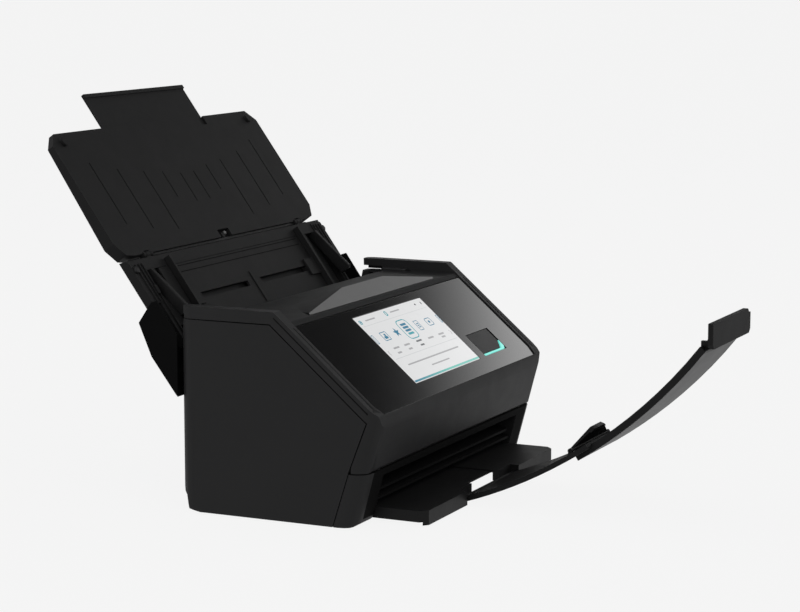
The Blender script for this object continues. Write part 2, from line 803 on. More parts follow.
def side_region():
    low = -OVERRUN
    back = REAR_Y + OVERRUN
    return inset([
        (seam_foot(low), low),
        (back, low),
        (back, SEAM_TOP_Z),
        (SEAM_RIDGE_Y, SEAM_TOP_Z),
        (SEAM_NOSE_Y, SEAM_NOSE_Z),
        (SEAM_LOW_Y, SEAM_Z),
    ], GAP)


def swing_edge():
    """The cover's lower rear corner, rounded about its hinge to clear the side panels as it tips."""
    along = Vector((SEAM_NOSE_Y - SEAM_LOW_Y, SEAM_NOSE_Z - SEAM_Z)).normalized()
    across = Vector((along.y, -along.x))
    reach = Vector((SEAM_LOW_Y - HINGE_Y, SEAM_Z - HINGE_Z)).dot(across)
    start = math.asin((SEAM_Z - HINGE_Z) / reach)
    end = math.atan2(across.y, across.x)
    return ring((HINGE_Y, HINGE_Z), reach, start, end, ARC_STEPS)


def cover_region():
    front = FACE_TOP_Y - OVERRUN
    top = RIM_Z + OVERRUN
    chamfer_y = face_y(SEAM_Z) + SEAM_CHAMFER
    return inset([
        (chamfer_y - OVERRUN, SEAM_Z + OVERRUN),
        (chamfer_y, SEAM_Z),
        *swing_edge(),
        (SEAM_NOSE_Y, SEAM_NOSE_Z),
        (SEAM_RIDGE_Y, SEAM_TOP_Z),
        (REAR_Y + OVERRUN, SEAM_TOP_Z),
        (REAR_Y + OVERRUN, top),
        (front, top),
    ], GAP)


def front_region():
    front = FACE_TOP_Y - OVERRUN
    low = -OVERRUN
    return inset([
        (front, low),
        (seam_foot(low), low),
        (SEAM_LOW_Y, SEAM_Z),
        (front, SEAM_Z),
    ], GAP)


# Paper path

BEND_START = CHUTE_ANGLE
BEND_CENTRE = (
    chute_point(-PATH_STRAIGHT_END, PATH_RADIUS)[0],
    chute_point(-PATH_STRAIGHT_END, PATH_RADIUS)[1],
)


def path_point(angle, offset):
    """A point on the bend; a positive offset lies below the paper."""
    reach = PATH_RADIUS + offset
    return (BEND_CENTRE[0] + reach * math.sin(angle), BEND_CENTRE[1] - reach * math.cos(angle))


def exit_point(y, offset):
    """A point on the shallow run out of the front; a positive offset lies below the paper."""
    start = path_point(EXIT_ANGLE, offset)
    return (y, start[1] + (y - start[0]) * math.tan(EXIT_ANGLE))


def path_line(start_up, end_y, offset):
    """A side-view line that follows the paper at an offset, from the chute to the exit."""
    line = [chute_point(-start_up, -offset)]
    for step in range(PATH_STEPS + 1):
        angle = BEND_START + (EXIT_ANGLE - BEND_START) * step / PATH_STEPS
        line.append(path_point(angle, offset))
    line.append(exit_point(end_y, offset))
    return line


PICK_CENTRE = chute_point(-PICK_UP, -PICK_RADIUS - NIP)
BRAKE_CENTRE = chute_point(-PICK_UP, BRAKE_RADIUS + NIP)
FEED_CENTRE = path_point(FEED_ANGLE, FEED_RADIUS + NIP)
FEED_IDLER_CENTRE = path_point(FEED_ANGLE, -FEED_IDLER_RADIUS - NIP)


def eject_centre(offset):
    nip = exit_point(EJECT_Y, 0)
    return (nip[0] + offset * math.sin(EXIT_ANGLE), nip[1] - offset * math.cos(EXIT_ANGLE))


EJECT_CENTRE = eject_centre(EJECT_RADIUS + NIP)
EJECT_IDLER_CENTRE = eject_centre(-EJECT_IDLER_RADIUS - NIP)
GEAR_SPACING = GEAR_MODULE * (FEED_TEETH + MOTOR_TEETH) / 2 + GEAR_SLACK
MOTOR_CENTRE = (
    FEED_CENTRE[0] + GEAR_SPACING * math.cos(MOTOR_ANGLE),
    FEED_CENTRE[1] + GEAR_SPACING * math.sin(MOTOR_ANGLE),
)
SHAFTS = [PICK_CENTRE, FEED_CENTRE, EJECT_CENTRE]


# Body shells

def side_panel(body):
    inner = BODY_HALF_WIDTH - WALL
    wrap = BODY_HALF_WIDTH - REAR_CORNER_RADIUS - GAP
    flange = RIM_INNER + RUN + GAP
    panel = keep(body, slab(side_region(), wrap, BODY_HALF_WIDTH + OVERRUN))
    hollow = inset([
        (FACE_TOP_Y - OVERRUN, -OVERRUN),
        (REAR_Y - REAR_CORNER_RADIUS + WALL + WALL, -OVERRUN),
        (REAR_Y - REAR_CORNER_RADIUS + WALL + WALL, SEAM_TOP_Z),
        (SEAM_RIDGE_Y, SEAM_TOP_Z),
        (FACE_TOP_Y - OVERRUN, SEAM_NOSE_Z - OVERRUN),
    ], WALL)
    cut(panel, slab(hollow, wrap - OVERRUN, inner))
    trim_rear = REAR_Y - REAR_CORNER_RADIUS + WALL
    trim = box(
        (wrap - OVERRUN, FACE_TOP_Y - OVERRUN, -OVERRUN), (flange, trim_rear, RIM_Z + OVERRUN)
    )
    return cut(panel, trim)


def front_frame(body):
    frame = keep(body, slab(front_region(), -BODY_HALF_WIDTH - OVERRUN, BODY_HALF_WIDTH + OVERRUN))
    opening = box(
        (-OPENING_HALF, FACE_TOP_Y - OVERRUN, -OVERRUN), (OPENING_HALF, REAR_Y, OPENING_TOP_Z)
    )
    cut(frame, opening)
    top = SEAM_Z - GAP - WALL
    low = FOOT_HEIGHT + WALL
    for step in (0, FRONT_CORNER_STEP):
        front = WALL + FRONT_CORNER_STEP - step
        pocket = [
            (face_y(low) + front, low),
            (REAR_Y, low),
            (REAR_Y, top),
            (face_y(top) + front, top),
        ]
        for side in (-1, 1):
            edges = sorted((side * (OPENING_HALF + WALL), side * (BODY_HALF_WIDTH - WALL - step)))
            cut(frame, slab(pocket, edges[0], edges[1]))
    for side in (-1, 1):
        edges = sorted((side * LUG_INNER, side * (LUG_INNER + LUG_WIDTH)))
        stem_low = SEAM_Z - WALL
        stem = box(
            (edges[0], HINGE_Y, stem_low), (edges[1], HINGE_Y + LUG_RADIUS, HINGE_Z)
        )
        join(frame, stem, rod(LUG_RADIUS, edges[0], edges[1], HINGE_Y, HINGE_Z))
        pin = rod(
            HINGE_PIN_RADIUS, edges[0] - TRUNNION_REACH, edges[1] + TRUNNION_REACH,
            HINGE_Y, HINGE_Z, sides=12,
        )
        join(frame, pin)
    return frame


def rear_cover(body):
    inner = REAR_Y - WALL
    sheet = [
        (inner, REAR_COVER_TOP_Z),
        (inner, REAR_TUCK_Z + WALL),
        (HEEL_TOP_Y - WALL, HEEL_TOP_Z + WALL / 2),
        (HEEL_Y - WALL, FOOT_HEIGHT + WALL),
        (HEEL_Y - WALL, -OVERRUN),
        (REAR_Y + OVERRUN, -OVERRUN),
        (REAR_Y + OVERRUN, REAR_COVER_TOP_Z),
    ]
    cover = keep(body, slab(sheet, -REAR_COVER_HALF, REAR_COVER_HALF))
    power = post_y(POWER_HALF + GAP, inner - WALL, REAR_Y + WALL, POWER_X, SOCKET_Z)
    usb = box(
        (USB_X - USB_HALF_WIDTH - GAP, inner - WALL, SOCKET_Z - USB_HALF_HEIGHT - GAP),
        (USB_X + USB_HALF_WIDTH + GAP, REAR_Y + WALL, SOCKET_Z + USB_HALF_HEIGHT + GAP),
    )
    return cut(cover, power, usb)


def post_y(radius, low, high, x, z, sides=20):
    """A round bar along Y."""
    shape = bmesh.new()
    bmesh.ops.create_cone(
        shape, cap_ends=True, segments=sides, radius1=radius, radius2=radius, depth=high - low
    )
    turn = Matrix.Rotation(math.radians(90), 4, "X")
    turn = Matrix.Translation((x, (low + high) / 2, z)) @ turn
    bmesh.ops.transform(shape, matrix=turn, verts=shape.verts)
    return from_bmesh(shape)


def bottom_cover():
    rear = HEEL_Y - WALL - GAP
    floor_top = FOOT_HEIGHT + FLOOR_THICK
    floor = box(
        (-FLOOR_HALF, seam_foot(FOOT_HEIGHT) + GAP, FOOT_HEIGHT), (FLOOR_HALF, rear, floor_top)
    )
    mouth = box(
        (-OPENING_HALF - GAP, FACE_TOP_Y, -OVERRUN),
        (OPENING_HALF + GAP, FLOOR_FRONT_Y, RIM_Z),
    )
    cut(floor, mouth)
    for side in (-1, 1):
        edges = sorted((side * RUNNER_INNER, side * (RUNNER_INNER + RUNNER_WIDTH)))
        join(floor, box(
            (edges[0], SEAM_FOOT_Y + WALL, FOOT_HEIGHT + FLOOR_THICK / 2),
            (edges[1], FRAME_STEP_Y, RUNNER_TOP_Z),
        ))
    return floor


def foot(x, y):
    return post(PAD_RADIUS, 0, FOOT_HEIGHT - GAP / 3, x, y, sides=24)


def chute_rear_housing():
    start_y = REAR_Y + GAP
    outline = [
        (start_y, TUB_LOW_Z - TUB_REAR_WALL),
        (TUB_LOW_Y, TUB_LOW_Z),
        (TUB_MID_Y, TUB_MID_Z),
        (TUB_BACK_Y, TUB_BACK_Z),
        (TUB_APEX_Y, TUB_APEX_Z),
        (TUB_TIP_Y, TUB_TIP_Z),
        (start_y, TUB_FRONT_Z),
    ]
    tub = slab(outline, -TUB_HALF, TUB_HALF)
    cavity = [
        (start_y - OVERRUN, TUB_LOW_Z + TUB_REAR_WALL),
        (TUB_LOW_Y - TUB_REAR_WALL / 2, TUB_LOW_Z + TUB_REAR_WALL),
        (TUB_MID_Y - TUB_REAR_WALL, TUB_MID_Z + TUB_REAR_WALL / 2),
        (TUB_BACK_Y - TUB_REAR_WALL, TUB_BACK_Z),
        (TUB_BACK_Y - TUB_REAR_WALL, TUB_BACK_Z + OVERRUN),
        (start_y - OVERRUN, TUB_BACK_Z + OVERRUN),
    ]
    cut(tub, slab(cavity, -TUB_HALF + TUB_WALL, TUB_HALF - TUB_WALL))
    rear_top = box(
        (-TUB_HALF + TUB_WALL, TUB_BACK_Y - OVERRUN, TUB_BACK_Z),
        (TUB_HALF - TUB_WALL, TUB_BACK_Y + OVERRUN, TUB_BACK_Z + OVERRUN),
    )
    return cut(tub, rear_top)


# Lifting cover with the panel, the deck and what they carry

FLOOR_DROP = PANEL_THICK + GAP
DECK_FLOOR_Z = DECK_Z - DECK_THICK - GAP


def floor_meet(drop, level):
    """Where the sloping floor, dropped from the panel's plane, reaches a level."""
    fall = drop / math.cos(PANEL_ANGLE)
    return PANEL_LOW_Y + (level + fall - PANEL_LOW_Z) / math.tan(PANEL_ANGLE)


def cover_shell(body):
    wide = BODY_HALF_WIDTH + OVERRUN
    shell = keep(body, slab(cover_region(), -wide, wide))
    under = FLOOR_DROP + SKIN
    deck_under_z = DECK_FLOOR_Z - SKIN
    inner = BODY_HALF_WIDTH - WALL
    hollow_low = SEAM_Z + HINGE_FLANGE
    for step in (0, FRONT_CORNER_STEP):
        front = WALL + FRONT_CORNER_STEP - step
        hollow = [
            (face_y(hollow_low) + front, hollow_low),
            (SEAM_LOW_Y + OVERRUN, hollow_low),
            (COVER_BACK_Y + OVERRUN, hollow_low),
            (COVER_BACK_Y + OVERRUN, deck_under_z),
            (floor_meet(under, deck_under_z), deck_under_z),
            (FACE_TOP_Y + front, floor_height(FACE_TOP_Y + front, under)),
            (FACE_TOP_Y + front, FACE_TOP_Z),
        ]
        cut(shell, slab(hollow, step - inner, inner - step))
    deck_floor = box(
        (-RIM_INNER - RUN, floor_meet(FLOOR_DROP, DECK_FLOOR_Z) - GAP, deck_under_z),
        (RIM_INNER + RUN, COVER_BACK_Y + RUN, DECK_FLOOR_Z),
    )
    rim_step = box(
        (-inner, RIM_UNDERCUT_Y, SEAM_TOP_Z - OVERRUN), (inner, REAR_Y + OVERRUN, RIM_UNDERCUT_Z)
    )
    cut(shell, rim_step)
    join(shell, deck_floor)
    brake_room = box(
        (-PICK_HALF - RUN, BRAKE_CENTRE[0], -OVERRUN),
        (PICK_HALF + RUN, BRAKE_CENTRE[0] + OVERRUN, BRAKE_CENTRE[1] + BRAKE_RADIUS + RUN),
    )
    deck_recess = box(
        (-RIM_INNER, floor_meet(FLOOR_DROP, DECK_FLOOR_Z), DECK_FLOOR_Z),
        (RIM_INNER, REAR_Y + OVERRUN, RIM_Z + OVERRUN),
    )
    cut(shell, deck_recess)
    wall_low = path_line(UPPER_GUIDE_START, FRAME_FRONT_Y, -UPPER_OFFSET - GUIDE_SHEET - GAP)
    walls = [(COVER_BACK_Y, deck_under_z + GAP)]
    walls.append((COVER_BACK_Y, wall_low[0][1] + WALL))
    walls += wall_low
    walls.append((FRAME_FRONT_Y, SEAM_Z + HINGE_FLANGE))
    walls.append((face_y(hollow_low) + WALL + WALL, SEAM_Z + HINGE_FLANGE + WALL))
    walls.append((FACE_TOP_Y + WALL + WALL, FACE_TOP_Z))
    walls.append((NOSE_Y + WALL + WALL, floor_height(NOSE_Y + WALL + WALL, under) + GAP))
    walls.append((floor_meet(under, deck_under_z), deck_under_z + GAP))
    skirt = slab(walls, -COVER_INNER_HALF, COVER_INNER_HALF)
    lining = COVER_INNER_HALF - COVER_INNER_WALL
    room = [
        (COVER_BACK_Y - COVER_INNER_WALL, deck_under_z - GAP),
        (COVER_BACK_Y - COVER_INNER_WALL, -OVERRUN),
        (FACE_TOP_Y - OVERRUN, -OVERRUN),
        (FACE_TOP_Y - OVERRUN, floor_height(FACE_TOP_Y - OVERRUN, under + GAP)),
        (floor_meet(under + GAP, deck_under_z - GAP), deck_under_z - GAP),
    ]
    cut(skirt, slab(room, -lining, lining))
    cut(skirt, brake_room)
    join(shell, skirt)
    half = RIM_INNER
    recess = [
        (-half + PANEL_CORNER_ACROSS, -GAP),
        (half - PANEL_CORNER_ACROSS, -GAP),
        (half, PANEL_CORNER_UP - GAP),
        (half, PANEL_LENGTH + WALL * 3),
        (-half, PANEL_LENGTH + WALL * 3),
        (-half, PANEL_CORNER_UP - GAP),
    ]
    cut(shell, slab(recess, -FLOOR_DROP, OVERRUN / 2, "Z", PANEL))
    button_well = box(
        (BUTTON_LEFT - RUN, BUTTON_LOW - RUN, -FLOOR_DROP - BUTTON_TRAVEL - GAP),
        (BUTTON_RIGHT - LIGHT_WIDTH - GAP / 2, BUTTON_TOP + RUN, OVERRUN / 2), PANEL,
    )
    cut(shell, button_well)
    for side in (-1, 1):
        middle = side * (LUG_INNER + LUG_WIDTH / 2)
        reach = LUG_WIDTH / 2 + RUN
        relief = box(
            (middle - reach, HINGE_Y - LUG_RADIUS / 2, -OVERRUN),
            (middle + reach, SEAM_LOW_Y, HINGE_Z + RUN),
        )
        cut(shell, relief)
        cut(shell, rod(LUG_RADIUS + GAP, middle - reach, middle + reach, HINGE_Y, HINGE_Z))
        reach += TRUNNION_REACH
        cut(shell, rod(
            bore(HINGE_PIN_RADIUS, 12), middle - reach, middle + reach, HINGE_Y, HINGE_Z, sides=12
        ))
    lever_slot = box(
        (LEVER_X - GAP - GAP, LEVER_FRONT_Y - LEVER_TRAVEL - GAP, DECK_FLOOR_Z - OVERRUN),
        (LEVER_X + LEVER_WIDTH + GAP, LEVER_FRONT_Y + LEVER_LENGTH + GAP, DECK_FLOOR_Z + SKIN),
    )
    return cut(shell, lever_slot)


def floor_height(y, drop):
    """The height of a plane dropped below the glossy panel's, at one depth."""
    return PANEL_LOW_Z + (y - PANEL_LOW_Y) * math.tan(PANEL_ANGLE) - drop / math.cos(PANEL_ANGLE)


def panel_outline(shrink):
    half = RIM_INNER - shrink
    low = 0
    top = PANEL_LENGTH - shrink - shrink
    return [
        (-half + PANEL_CORNER_ACROSS, low),
        (half - PANEL_CORNER_ACROSS, low),
        (half, PANEL_CORNER_UP),
        (half, top),
        (-half, top),
        (-half, PANEL_CORNER_UP),
    ]


def glossy_panel():
    panel = slab(panel_outline(GAP), -PANEL_THICK, 0, "Z", PANEL)
    screen = box(
        (SCREEN_LEFT - GAP, SCREEN_LOW - GAP, -OVERRUN),
        (SCREEN_RIGHT + GAP, SCREEN_TOP + GAP, OVERRUN), PANEL,
    )
    button = box(
        (BUTTON_LEFT - GAP, BUTTON_LOW - GAP, -OVERRUN),
        (BUTTON_RIGHT + GAP, BUTTON_TOP + GAP, OVERRUN), PANEL,
    )
    return cut(panel, screen, button)


def screen_display():
    return box(
        (SCREEN_LEFT, SCREEN_LOW, -PANEL_THICK), (SCREEN_RIGHT, SCREEN_TOP, 0), PANEL
    )


def scan_button():
    outline = [
        (BUTTON_LEFT, BUTTON_LOW + LIGHT_WIDTH + GAP),
        (BUTTON_RIGHT - LIGHT_WIDTH - GAP - GAP, BUTTON_LOW + LIGHT_WIDTH + GAP),
        (BUTTON_RIGHT - LIGHT_WIDTH - GAP - GAP, BUTTON_TOP),
        (BUTTON_LEFT, BUTTON_TOP),
    ]
    cap = slab(outline, -PANEL_THICK, 0, "Z", PANEL)
    return cap


def button_light_guide():
    lower = BUTTON_LOW + LIGHT_WIDTH
    outline = [
        (BUTTON_LEFT, BUTTON_LOW),
        (BUTTON_RIGHT, BUTTON_LOW),
        (BUTTON_RIGHT - LIGHT_WIDTH / 3, LIGHT_TOP),
        (BUTTON_RIGHT - LIGHT_WIDTH, LIGHT_TOP),
        (BUTTON_RIGHT - LIGHT_WIDTH, lower),
        (BUTTON_LEFT, lower),
    ]
    return slab(outline, -PANEL_THICK, 0, "Z", PANEL)


def control_board():
    depth = FLOOR_DROP + SKIN + GAP
    return box(
        (-CONTROL_BOARD_HALF, CONTROL_BOARD_LOW, -depth - BOARD_THICK),
        (CONTROL_BOARD_HALF, CONTROL_BOARD_TOP, -depth), PANEL,
    )


def top_deck():
    low = DECK_Z - DECK_THICK
    half = RIM_INNER - GAP
    outline = [
        panel_point(PANEL_LENGTH, -PANEL_THICK),
        (floor_meet(PANEL_THICK, low), low),
        (DECK_REAR_Y, low),
        (DECK_REAR_Y, DECK_Z),
        (floor_meet(0, DECK_Z), DECK_Z),
        panel_point(PANEL_LENGTH, 0),
    ]
    deck = slab(rounded(outline, [0, 0, 0, 0, DECK_NOSE_RADIUS, 0]), -half, half)
    hull = bmesh.new()
    inside = DECK_Z - DECK_THICK / 2
    for side in (-1, 1):
        for x, y, z in (
            (HUMP_FRONT_HALF, HUMP_FRONT_Y, inside),
            (HUMP_CREST_HALF, HUMP_CREST_Y, HUMP_Z),
            (HUMP_CREST_HALF, HUMP_BACK_Y, HUMP_BACK_Z),
            (HUMP_FRONT_HALF, HUMP_FRONT_Y + HUMP_LIP, DECK_Z + HUMP_LIP),
            (HUMP_END_HALF, HUMP_END_Y, inside),
            (HUMP_FRONT_HALF - HUMP_BACK_Y, HUMP_BACK_Y, inside),
        ):
            hull.verts.new((side * x, y, z))
    bmesh.ops.convex_hull(hull, input=hull.verts)
    join(deck, from_bmesh(hull))
    slot = box(
        (LEVER_X - GAP, LEVER_FRONT_Y - LEVER_TRAVEL - GAP, low - OVERRUN),
        (LEVER_X + LEVER_WIDTH + GAP / 2, LEVER_FRONT_Y + LEVER_LENGTH + GAP, RIM_Z),
    )
    return cut(deck, slot)


def cover_release_lever():
    top = DECK_Z + LEVER_RISE
    return box(
        (LEVER_X, LEVER_FRONT_Y, top - LEVER_THICK),
        (LEVER_X + LEVER_WIDTH - GAP, LEVER_FRONT_Y + LEVER_LENGTH, top),
    )


# Paper guides, sensors and rollers

def window(y, z, angle, half, along, deep):
    """A cutter across a guide, turned to lie along the paper."""
    frame = Matrix.Translation((0, y, z)) @ Matrix.Rotation(angle, 4, "X")
    return box((-half, -along, -deep), (half, along, deep), frame)


def band(start_up, end_y, near, far, half):
    outline = path_line(start_up, end_y, near) + path_line(start_up, end_y, far)[::-1]
    return slab(outline, -half, half)


def lower_guide():
    far = LOWER_OFFSET + GUIDE_SHEET
    guide = band(LOWER_GUIDE_START, EXIT_Y, LOWER_OFFSET, far, LOWER_GUIDE_HALF)
    pick = chute_point(-PICK_UP, 0)
    feed = path_point(FEED_ANGLE, 0)
    eject = exit_point(EJECT_Y, 0)
    sensor = path_point(SENSOR_ANGLE, far)
    return cut(
        guide,
        window(*pick, CHUTE_ANGLE, PICK_HALF + RUN, PICK_RADIUS, far + RUN),
        window(*feed, FEED_ANGLE, FEED_HALF + RUN, FEED_RADIUS, far + RUN + RUN),
        window(*eject, EXIT_ANGLE, EJECT_HALF + RUN, EJECT_RADIUS, far + RUN),
        window(*sensor, SENSOR_ANGLE, SENSOR_HALF + GAP, GLASS_WIDE / 2 + GAP, far),
    )


def upper_guide():
    far = -UPPER_OFFSET - GUIDE_SHEET
    guide = band(UPPER_GUIDE_START, EXIT_Y, far, -UPPER_OFFSET, UPPER_GUIDE_HALF)
    pick = chute_point(-PICK_UP, 0)
    feed = path_point(FEED_ANGLE, 0)
    eject = exit_point(EJECT_Y, 0)
    sensor = path_point(SENSOR_ANGLE, far)
    return cut(
        guide,
        window(*pick, CHUTE_ANGLE, PICK_HALF + RUN, BRAKE_RADIUS, -far + RUN),
        window(*feed, FEED_ANGLE, FEED_HALF + RUN, FEED_IDLER_RADIUS, -far + RUN + RUN),
        window(*eject, EXIT_ANGLE, EJECT_HALF + RUN, EJECT_IDLER_RADIUS, -far + RUN),
        window(*sensor, SENSOR_ANGLE, SENSOR_HALF + GAP, GLASS_WIDE / 2 + GAP, -far),
    )


def sensor_frame(offset):
    spot = path_point(SENSOR_ANGLE, offset)
    return Matrix.Translation((0, *spot)) @ Matrix.Rotation(SENSOR_ANGLE, 4, "X")


def sensor_unit(offset, side):
    """A housing behind its glass; side is 1 below the paper and -1 above it."""
    frame = sensor_frame(offset + side * (GUIDE_SHEET + GAP + GAP))
    low, high = sorted((0, -side * SENSOR_DEEP))
    return box((-SENSOR_HALF, -SENSOR_WIDE / 2, low), (SENSOR_HALF, SENSOR_WIDE / 2, high), frame)


def sensor_glass(offset, side):
    frame = sensor_frame(offset + side * GUIDE_SHEET)
    low, high = sorted((0, side * GLASS_THICK))
    return box((-SENSOR_HALF, -GLASS_WIDE / 2, low), (SENSOR_HALF, GLASS_WIDE / 2, high), frame)


def frame_plate():
    """The right side's plate; the left one is its mirror."""
    top_line = path_line(LOWER_GUIDE_START, FRAME_FRONT_Y, LOWER_OFFSET)
    outline = [(FRAME_FRONT_Y, FRAME_CLEAR_Z), (FRAME_STEP_Y, FRAME_CLEAR_Z)]
    floor_top = FOOT_HEIGHT + FLOOR_THICK + GAP
    outline += [(FRAME_STEP_Y + RUN, floor_top), (FRAME_REAR_Y, floor_top)]
    outline += [(FRAME_REAR_Y, FRAME_REAR_Z)]
    outline += [point for point in top_line if point[0] < FRAME_REAR_Y]
    plate = slab(outline, FRAME_INNER, FRAME_INNER + FRAME_THICK)
    for y, z in SHAFTS:
        hole = rod(bore(SHAFT_RADIUS), 0, BODY_HALF_WIDTH, y, z)
        cut(plate, hole)
    return plate


def roller(centre, radius, half, core):
    """A tyre with a bore that grips its shaft."""
    tyre = rod(radius, -half, half, centre[0], centre[1], sides=24)
    hole = rod(core + GAP / 3, -half - OVERRUN, half + OVERRUN, centre[0], centre[1])
    return cut(tyre, hole)


def pulley_wheel(centre):
    """A toothless pulley on the left end of a driven shaft."""
    low = -PULLEY_X - PULLEY_WIDTH
    wheel = rod(PULLEY_RADIUS, low, -PULLEY_X, centre[0], centre[1], sides=24)
    return wheel


def gear_outline(teeth, module, centre, phase):
    """Trapezoid teeth round a pitch circle."""
    tip = module * teeth / 2 + module * TIP_SHARE
    root = module * teeth / 2 - module * ROOT_SHARE
    pitch = 2 * math.pi / teeth
    out = []
    for tooth in range(teeth):
        middle = phase + tooth * pitch
        for reach, turn in (
            (root, -FOOT_SHARE), (tip, -CREST_SHARE), (tip, CREST_SHARE), (root, FOOT_SHARE)
        ):
            angle = middle + turn * pitch
            out.append((centre[0] + reach * math.cos(angle), centre[1] + reach * math.sin(angle)))
    return out


def convex_outline(points):
    """The outline that a tight belt takes round its points."""
    points = sorted(points)
    hull = []
    for run in (points, points[::-1]):
        part_hull = []
        for point in run:
            while len(part_hull) > 1 and turns_right(part_hull[-2], part_hull[-1], point):
                part_hull.pop()
            part_hull.append(point)
        hull += part_hull[:-1]
    return hull


def turns_right(a, b, c):
    return (b[0] - a[0]) * (c[1] - a[1]) - (b[1] - a[1]) * (c[0] - a[0]) <= 0


def drive_belt():
    loops = []
    for grow in (BELT_CLEARANCE, BELT_CLEARANCE + BELT_THICK):
        points = []
        for centre in SHAFTS:
            points += ring(centre, PULLEY_RADIUS + grow, 0, 2 * math.pi, 24)[:-1]
        loops.append(convex_outline(points))
    low = -PULLEY_X - PULLEY_WIDTH
    belt = slab(loops[1], low, -PULLEY_X)
    return cut(belt, slab(loops[0], low - OVERRUN, -PULLEY_X + OVERRUN))


# Chute

def chute_cover():
    profile = [
        (COVER_START, 0),
        (COVER_START, -COVER_LOW_THICK),
        (COVER_LENGTH, -COVER_TOP_THICK),
        (COVER_LENGTH, 0),
    ]
    cover = slab(profile, -COVER_HALF, COVER_HALF, "X", CHUTE)
    half = COVER_HALF
    low_half = half - COVER_LOW_STEP
    plan = [
        (-low_half + COVER_LOW_CORNER, -OVERRUN),
        (low_half - COVER_LOW_CORNER, -OVERRUN),
        (low_half - COVER_LOW_CORNER, 0),
        (low_half, COVER_LOW_REACH),
        (half, COVER_LOW_CORNER),
        (half, COVER_LENGTH - COVER_TOP_CHAMFER),
        (half - COVER_TOP_CHAMFER, COVER_LENGTH),
        (half - COVER_TOP_CHAMFER, COVER_LENGTH + OVERRUN),
        (-half + COVER_TOP_CHAMFER, COVER_LENGTH + OVERRUN),
        (-half + COVER_TOP_CHAMFER, COVER_LENGTH),
        (-half, COVER_LENGTH - COVER_TOP_CHAMFER),
        (-half, COVER_LOW_CORNER),
        (-low_half, COVER_LOW_REACH),
        (-low_half + COVER_LOW_CORNER, 0),
    ]
    keep(cover, slab(plan, -OVERRUN, OVERRUN, "Z", CHUTE))
    pocket = box(
        (-POCKET_HALF, POCKET_START, -POCKET_FLOOR),
        (POCKET_HALF, COVER_LENGTH + OVERRUN, -POCKET_ROOF), CHUTE,
    )
    notch = box((-NOTCH_HALF, -OVERRUN, -OVERRUN), (NOTCH_HALF, NOTCH_DEPTH, OVERRUN), CHUTE)
    slot = box(
        (SLOT_LEFT, SLOT_START, -POCKET_ROOF - GAP),
        (SLOT_LEFT + SLOT_WIDTH, COVER_LENGTH + OVERRUN, OVERRUN), CHUTE,
    )
    cut(cover, pocket, notch, slot)
    for share, (start, end) in zip(GROOVE_SHARES, GROOVE_SPANS):
        across = share * COVER_HALF
        for side in (-1, 1):
            x = side * across
            cut(cover, box(
                (x - GROOVE_WIDTH / 2, start, -GROOVE_DEPTH), (x + GROOVE_WIDTH / 2, end, OVERRUN),
                CHUTE,
            ))
    for side in (-1, 1):
        stud = post(STUD_RADIUS, -POCKET_ROOF, STUD_HEIGHT, side * STUD_X, STUD_UP, CHUTE)
        join(cover, stud)
        middle = side * KNUCKLE_X
        reach = KNUCKLE_WIDTH / 2
        relief = box(
            (middle - reach - RUN, -OVERRUN, -OVERRUN),
            (middle + reach + RUN, KNUCKLE_RADIUS + RUN, OVERRUN), CHUTE,
        )
        cut(cover, relief)
        pin = rod(
            bore(KNUCKLE_PIN_RADIUS, 12), middle - reach - KNUCKLE_PIN_REACH,
            middle + reach + KNUCKLE_PIN_REACH, 0, -COVER_PIVOT_DEPTH, CHUTE, sides=12,
        )
        hub_low = middle - reach - RUN - KNUCKLE_PIN_REACH
        for start in (hub_low, middle + reach + RUN):
            hub = rod(
                KNUCKLE_RADIUS, start, start + KNUCKLE_PIN_REACH, 0, -COVER_PIVOT_DEPTH, CHUTE
            )
            join(cover, hub)
        cut(cover, pin)
    return cover


def chute_extension():
    roof = POCKET_ROOF + GAP
    floor = POCKET_FLOOR - GAP
    profile = [
        (EXTENSION_START, -floor),
        (EXTENSION_END, -floor),
        (EXTENSION_END, EXTENSION_LIP_RISE - roof),
        (EXTENSION_END - EXTENSION_LIP, EXTENSION_LIP_RISE - roof),
        (EXTENSION_END - EXTENSION_LIP, -roof),
        (EXTENSION_START, -roof),
    ]
    return slab(profile, -EXTENSION_HALF, EXTENSION_HALF, "X", CHUTE)


